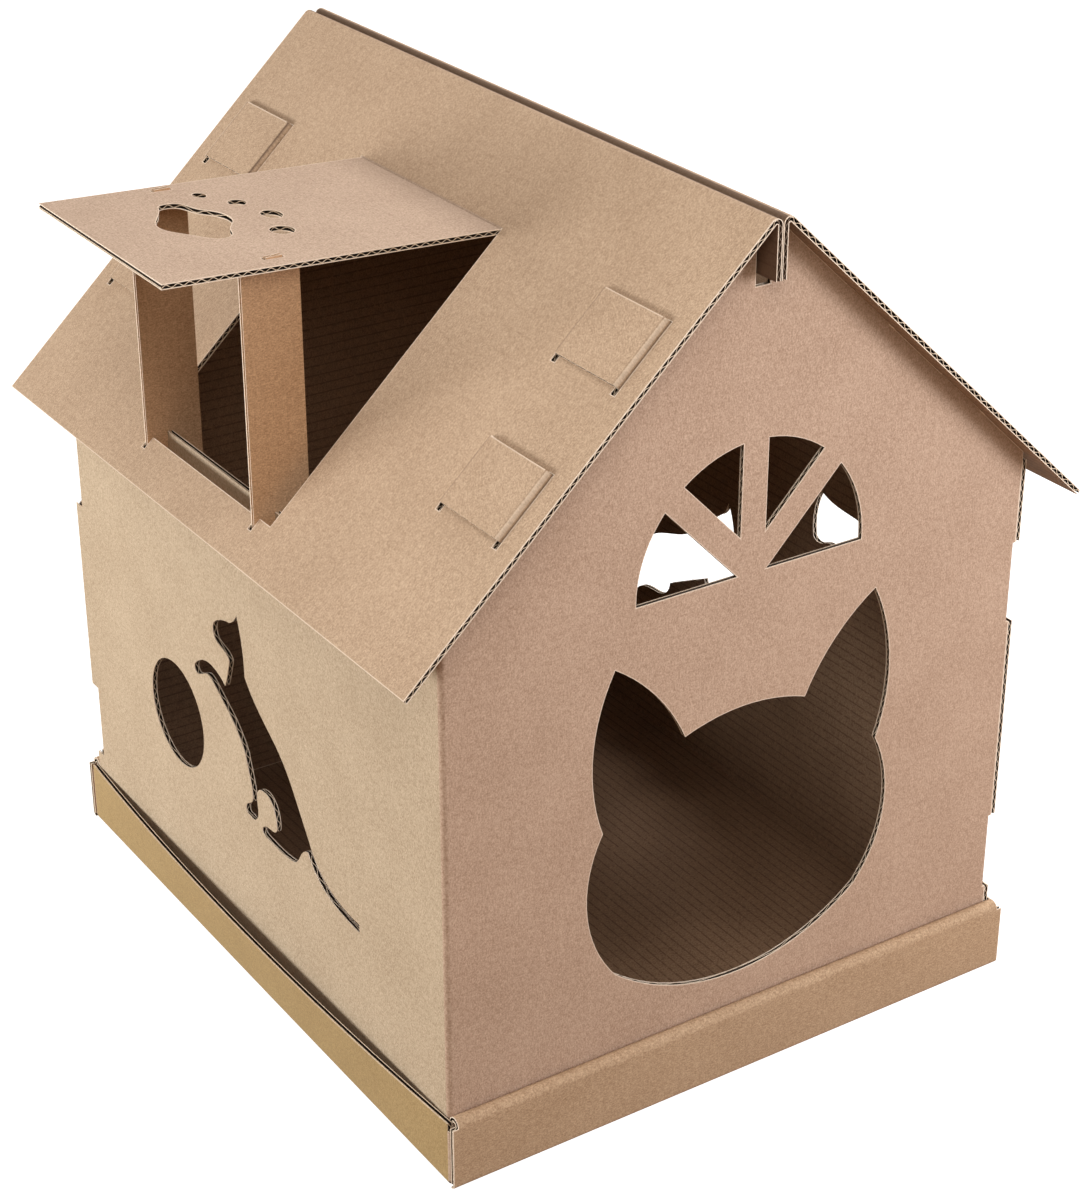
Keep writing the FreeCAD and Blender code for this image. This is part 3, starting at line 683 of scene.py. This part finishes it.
def tab_place(side, end):
    """Places points of a tab, given as down the slope and along its path from the gable."""
    def place(p, q, depth):
        reach = BOARD - depth
        if q < 0:
            y, out = house_y - depth, q
        elif q < ring:
            angle = q / ring * math.pi / 2
            y, out = house_y - BOARD + reach * math.cos(angle), reach * math.sin(angle)
        elif q < ring + flat_length:
            y, out = house_y - BOARD - (q - ring), reach
        elif q < 2 * ring + flat_length:
            angle = (q - ring - flat_length) / ring * math.pi / 2
            y, out = TAB_END_Y + BOARD - reach * math.sin(angle), reach * math.cos(angle)
        else:
            y, out = TAB_END_Y + depth, 2 * ring + flat_length - q
        return slope_point(p, end * y, out, side)
    return place


def tab_painted_light(start):
    """Painted light on a tab: a painted highlight on the round of the root fold and along the upper edge, and painted
    shade in the slit, in a line just past the root fold and in a line across the free end.
    """
    flat_end = ring + flat_length
    along = ((-1, -0.8), (0, -0.8), (ring / 3, 0.3), (ring * 5 / 6, 0.35), (ring, -0.3), (ring + PAINTED_BAND, 0),
             (flat_end, 0), (flat_end + ring / 6, -0.1), (flat_end + ring / 3, -0.85), (flat_end + ring / 2, -0.35),
             (flat_end + ring * 2 / 3, 0.1), (flat_end + ring, 0), (1, 0))

    def tint(p, q):
        here = next(k for k in range(1, len(along)) if q <= along[k][0] + TINY)
        (q0, v0), (q1, v1) = along[here - 1], along[here]
        value = v0 + (v1 - v0) * (q - q0) / (q1 - q0)
        if p < start + TINY and ring <= q <= flat_end + TINY:
            value = max(value, 0.75)
        return value
    return tint


# The width of the painted shade line past a tab's root fold and of the painted highlight along its upper edge.
PAINTED_BAND = 0.8 * MM
tab_folds = fold_lines(0, ring, square=(0, 1)) + fold_lines(ring + flat_length, 2 * ring + flat_length, square=(0, 1))
tab_folds += [((0, ring + PAINTED_BAND), (0, 1))]
for end_name, end in (("front", -1), ("back", 1)):
    for side_name, side in (("left", -1), ("right", 1)):
        for level, start in TAB_STARTS.items():
            node_name = f"tab_{end_name}_{side_name}_{level}"
            net = rectangle(start, start + TAB_WIDTH, 0, 2 * ring + flat_length + TONGUE)
            middle = start + TAB_WIDTH / 2
            joins = {"bodies": ("house", node_name),
                     "start": slope_point(middle, end * house_y, 0, side),
                     "end": slope_point(middle, end * (house_y - BOARD), BOARD, side)}
            board_sheet(node_name + "_board", [node_name], node_name, net, tab_place(side, end),
                        (-math.sin(PITCH), math.cos(PITCH)), roof_side,
                        tab_folds + [((start + PAINTED_BAND, 0), (1, 0))], joins, tab_painted_light(start),
                        joined=lambda p, q: q < TINY)

# %% [markdown]
# ## The skylight flap
# The flap was cut out of the left slope on three sides and turned up about its upper edge. It
# is laid out flat as before. Close to the hinge line the sheet turns from the roof's pitch to
# the flap's own, over 3 mm, so the crease is short and soft, and its inner liner bunches.

# %% Flap
RISE = math.radians(2.6)
flap_along = Vector((-math.cos(RISE), 0, math.sin(RISE)))
flap_up = Vector((math.sin(RISE), 0, math.cos(RISE)))
left_out = Vector((-OUTWARD.x, 0, OUTWARD.z))
BEND_HALF = 1.5 * MM


def flap_place(p, q, depth):
    share = min(max((p + BEND_HALF) / (2 * BEND_HALF), 0), 1)
    share = share * share * (3 - 2 * share)
    turn = Matrix.Rotation(share * (PITCH + RISE), 3, "Y")
    return hinge_line + Y * q + turn @ (left_down * p + left_out * (BOARD / 2 - depth))


def flap_painted_shade(p, q):
    """Painted shade: the board is a little darker near the hinge, where the roof shades it, and fades to its own tone
    at SHADED.
    """
    return -0.2 * (1 - min(max(p, 0) / SHADED, 1))


SHADED = 26 * MM
net = outline_of("skylight_flap", flap_up, hinge_line + flap_up * BOARD / 2, flap_along, Y)
grow(net, min(v.co.x for v in net.verts), ROOF_EDGE)
joins = {"bodies": ("house", "skylight"), "start": hinge_line + Y * hinge_at.y - left_down * -ROOF_EDGE,
         "end": hinge_line + Y * hinge_at.y + flap_along * BEND_HALF}
# The lines from SHADED / 3 to SHADED only give the painted shade its steps.
board_sheet("skylight_flap_board", ["skylight_flap"], "skylight", net, flap_place, (1, 0), outside,
            fold_lines(-BEND_HALF, BEND_HALF, 2 * FOLD_STEPS) + fold_lines(SHADED / 3, SHADED, 2), joins, flap_painted_shade,
            lambda p, q: p < ROOF_EDGE + TINY)

# %% [markdown]
# ## Posts
# Two flat posts stand over the left wall. Each laps over the wall with a slot and pushes its
# tip through the flap. They stand upright on their flutes, because board is stiffest that way.

# %% Posts
for end in ("front", "back"):
    low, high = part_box("post_" + end)
    net = outline_of("post_" + end, -Y, Vector((0, low.y, 0)), X, Z)
    board_sheet(f"post_{end}_board", ["post_" + end], "house", net,
                lambda p, q, depth, face=low.y: Vector((p, face + depth, q)), (1, 0), post_side)

# %% [markdown]
# ## Tray
# The tray is one sheet. Its front and back walls roll over and tuck their tongues into slots
# of the floor, with the side walls' corner flaps held inside. The side walls stay single and a
# little bowed, because nothing holds them in the middle.

# %% Floor of the tray
def floor_place(p, q, depth):
    return Vector((q, p, BOARD - depth))


net = outline_of("tray_floor", Z, Vector((0, 0, BOARD)), Y, X)
board_sheet("tray_floor_board", ["tray_floor"], "tray", net, floor_place, (0, 1), tray_base,
            joined=lambda p, q: abs(p) > tray_y - 2 * BOARD or abs(q) > tray_x - 2 * BOARD)

# %% Rolled walls
TRAY_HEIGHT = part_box("tray_front_wall")[1].z
CREST = BOARD * 3 / 2
crest_z = TRAY_HEIGHT - CREST
rise_length = crest_z - BOARD
crest_length = math.pi * BOARD
INSIDE = tray_x - BOARD - 0.3 * MM
TONGUE_HALF = 27.0 * MM
TONGUE_AT = 98.0 * MM
TONGUE_DROP = 2.7 * MM


def rolled_place(turn):
    """Places points given as across and along the path up the outside, over and down inside."""
    def place(p, q, depth):
        reach = BOARD - depth
        if q < ring:
            angle = q / ring * math.pi / 2
            y, z = -tray_y + BOARD - reach * math.sin(angle), BOARD - reach * math.cos(angle)
        elif q < ring + rise_length:
            y, z = -tray_y + depth, BOARD + q - ring
        elif q < ring + rise_length + crest_length:
            angle = (q - ring - rise_length) / BOARD
            y = -tray_y + CREST - (CREST - depth) * math.cos(angle)
            z = crest_z + (CREST - depth) * math.sin(angle)
        else:
            y, z = -tray_y + 3 * BOARD - depth, crest_z - (q - ring - rise_length - crest_length)
        return Vector((turn * p, turn * y, z))
    return place


over = ring + rise_length
inner_end = over + crest_length + rise_length
rolled_folds = fold_lines(0, ring, square=(0, 1)) + fold_lines(over, over + crest_length, 3 * FOLD_STEPS, square=(0, 1))
for end, turn in (("front", 1), ("back", -1)):
    net = rectangle(-tray_x, tray_x, 0, inner_end + TONGUE_DROP)
    for side in (-1, 1):
        without(net, *sorted((side * INSIDE, side * (tray_x + MM))), over, inner_end + 2 * TONGUE_DROP)
        without(net, *sorted((side * (TONGUE_AT + TONGUE_HALF), side * tray_x)), inner_end, inner_end + MM * 9)
    without(net, -TONGUE_AT + TONGUE_HALF, TONGUE_AT - TONGUE_HALF, inner_end, inner_end + MM * 9)
    board_sheet(f"tray_{end}_wall_board", [f"tray_{end}_wall"], "tray", net, rolled_place(turn), (1, 0),
                rolled_side, rolled_folds, joined=lambda p, q: q < TINY)

# %% Side walls of the tray
SIDE_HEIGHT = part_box("tray_left_wall")[1].z
side_end = tray_y - 2 * BOARD
BOW = 8.0 * MM


def tray_side_place(turn):
    """Places points given as up the wall's path and along it, with the wall's soft bow."""
    def place(p, q, depth):
        reach = BOARD - depth
        bow = BOW * max(p, 0) / SIDE_HEIGHT * max(0, 1 - (q / side_end) ** 2)
        if p < ring:
            angle = max(p, 0) / ring * math.pi / 2
            x, z = -tray_x + BOARD - reach * math.sin(angle), BOARD - reach * math.cos(angle)
        else:
            x, z = -tray_x + depth, BOARD + p - ring
        return Vector((turn * (x - bow), turn * q, z))
    return place


BOW_STEPS = 24
for side, turn in (("left", 1), ("right", -1)):
    net = rectangle(0, ring + SIDE_HEIGHT - BOARD, -side_end, side_end)
    bends = fold_lines(0, ring) + fold_lines(ring, ring + SIDE_HEIGHT - BOARD)
    bends += fold_lines(-side_end, side_end, BOW_STEPS, square=(0, 1))
    board_sheet(f"tray_{side}_wall_board", [f"tray_{side}_wall"], "tray", net, tray_side_place(turn), (1, 0),
                tray_side, bends, joined=lambda p, q: p < TINY or abs(q) > side_end - TINY)


# %% Corner flaps of the tray
def corner_flap_place(side, end):
    """Places points of a corner flap, given as in from the corner and up."""
    def place(p, q, depth):
        near = -tray_x + BOARD
        reach = BOARD - depth
        if p < near:
            angle = (near - p) / BOARD * math.pi / 2
            x = near - reach * math.sin(angle)
            y = -tray_y + 2 * BOARD - reach * math.cos(angle)
        else:
            x, y = p, -tray_y + BOARD + depth
        return Vector((-side * x, -end * y, q))
    return place


for end_name, end in (("front", -1), ("back", 1)):
    for side_name, side in (("left", -1), ("right", 1)):
        node_name = f"tray_flap_{end_name}_{side_name}"
        inner_face = Vector((0, end * (tray_y - 2 * BOARD), 0))
        net = outline_of(node_name, -end * Y, inner_face, -side * X, Z)
        board_sheet(node_name + "_board", [node_name], "tray", net, corner_flap_place(side, end), (0, 1),
                    outside, fold_lines(-tray_x, -tray_x + BOARD), joined=lambda p, q: p < -tray_x + TINY)
print("pieces:", len(made), "faces:", sum(len(o.data.polygons) for o in made))

# %% [markdown]
# ## Floor, light and camera
# The photograph was taken in a white studio with a broad light from the upper left and a weak
# one from the right, so the left side is bright and the front lies in half shade. The floor is
# pale: for the camera it is lifted to white, but it keeps the soft shadow of the house.

# %% Studio floor
def make_floor():
    mesh = bpy.data.meshes.new("studio_floor")
    size = 12.0
    mesh.from_pydata([(-size, -size, 0), (size, -size, 0), (size, size, 0), (-size, size, 0)], [], [(0, 1, 2, 3)])
    floor = bpy.data.objects.new("studio_floor", mesh)
    bpy.context.scene.collection.objects.link(floor)
    material = bpy.data.materials.new("studio_white")
    material.use_nodes = True
    tree = material.node_tree
    tree.nodes.clear()
    paper = node(tree, "ShaderNodeBsdfDiffuse", {"Color": (0.33, 0.21, 0.12, 1)})
    glow = node(tree, "ShaderNodeEmission", {"Color": (1, 1, 1, 1), "Strength": 0.95})
    grey = node(tree, "ShaderNodeBsdfDiffuse", {"Color": (0.42, 0.42, 0.42, 1)})
    both = node(tree, "ShaderNodeAddShader", {0: grey.outputs[0], 1: glow.outputs[0]})
    ray = node(tree, "ShaderNodeLightPath")
    seen = maths(tree, "MAXIMUM", maths(tree, "MAXIMUM", ray.outputs["Is Camera Ray"], ray.outputs["Is Glossy Ray"]),
                 ray.outputs["Is Transmission Ray"])
    mix = node(tree, "ShaderNodeMixShader", {0: seen, 1: paper.outputs[0], 2: both.outputs[0]})
    end = node(tree, "ShaderNodeOutputMaterial", {"Surface": mix.outputs[0]})
    mesh.materials.append(material)
    floor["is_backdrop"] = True
    return floor


studio_floor = make_floor()


# %% Light
def area_light(name, place, aim, size, power, colour=(1, 1, 1)):
    lamp = bpy.data.lights.new(name, "AREA")
    lamp.shape = "RECTANGLE"
    lamp.size, lamp.size_y = size
    lamp.energy = power
    lamp.color = colour
    item = bpy.data.objects.new(name, lamp)
    bpy.context.scene.collection.objects.link(item)
    item.location = place
    item.rotation_euler = (Vector(aim) - Vector(place)).to_track_quat("-Z", "Y").to_euler()
    item.visible_camera = False
    return item


area_light("left_softbox", (-1.7, 0.7, 0.35), (0, 0, 0.25), (1.2, 0.6), 31.5, (0.97, 1.01, 1.02))
area_light("high_softbox", (-0.5, -0.9, 1.2), (0, 0, 0.25), (0.7, 0.7), 6.5, (1.0, 0.97, 0.93))
area_light("top_softbox", (-0.3, -0.7, 2.2), (0, 0, 0.25), (1.0, 1.0), 7, (1.0, 1.0, 1.0))
area_light("front_softbox", (0.7, -1.0, 0.6), (0.05, -0.2, 0.25), (0.5, 0.4), 9.3, (0.97, 1.0, 1.07))
area_light("back_softbox", (1.2, 0.7, 1.7), (0, 0, 0.25), (0.9, 0.9), 28, (1.0, 0.98, 0.97))

world = bpy.data.worlds.new("studio")
bpy.context.scene.world = world
world.use_nodes = True
tree = world.node_tree
tree.nodes.clear()
soft = node(tree, "ShaderNodeBackground", {"Color": (1.0, 0.82, 0.66, 1), "Strength": 0.2})
white = node(tree, "ShaderNodeBackground", {"Color": (1, 1, 1, 1), "Strength": 1.0})
ray = node(tree, "ShaderNodeLightPath")
seen = maths(tree, "MAXIMUM", maths(tree, "MAXIMUM", ray.outputs["Is Camera Ray"], ray.outputs["Is Glossy Ray"]),
             ray.outputs["Is Transmission Ray"])
mix = node(tree, "ShaderNodeMixShader", {0: seen, 1: soft.outputs[0], 2: white.outputs[0]})
node(tree, "ShaderNodeOutputWorld", {"Surface": mix.outputs[0]})

# %% [markdown]
# The camera stands where the photographer stood, front left and above, about a metre and a
# half away. The photograph's upright lines were made parallel afterwards. Here the camera is
# simply tilted down, without a shift, so that every other view stays centred too.

# %% Camera
camera_data = bpy.data.cameras.new("photo_camera")
camera = bpy.data.objects.new("photo_camera", camera_data)
bpy.context.scene.collection.objects.link(camera)
CAMERA_AT = Vector((-0.75706, -1.17764, 0.91929))
TURN, TILT = 0.58098, 0.47355
LONG_SIDE, FOCAL_PIXELS = 1200, 2640
camera_data.sensor_width = 36.0
camera_data.lens = FOCAL_PIXELS / LONG_SIDE * camera_data.sensor_width
camera.location = CAMERA_AT
ahead = Vector((math.sin(TURN) * math.cos(TILT), math.cos(TURN) * math.cos(TILT), -math.sin(TILT)))
camera.rotation_euler = ahead.to_track_quat("-Z", "Y").to_euler()
bpy.context.scene.camera = camera
bpy.context.scene.view_settings.view_transform = "Standard"
print("lens", round(camera_data.lens, 2))

# %% Sizes of the solids and of the model, and the end
low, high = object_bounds()
{"cad": [list(cad_low), list(cad_high)], "visual": [list(low), list(high)]}
print("the model reaches from", [round(v, 4) for v in low], "to", [round(v, 4) for v in high])
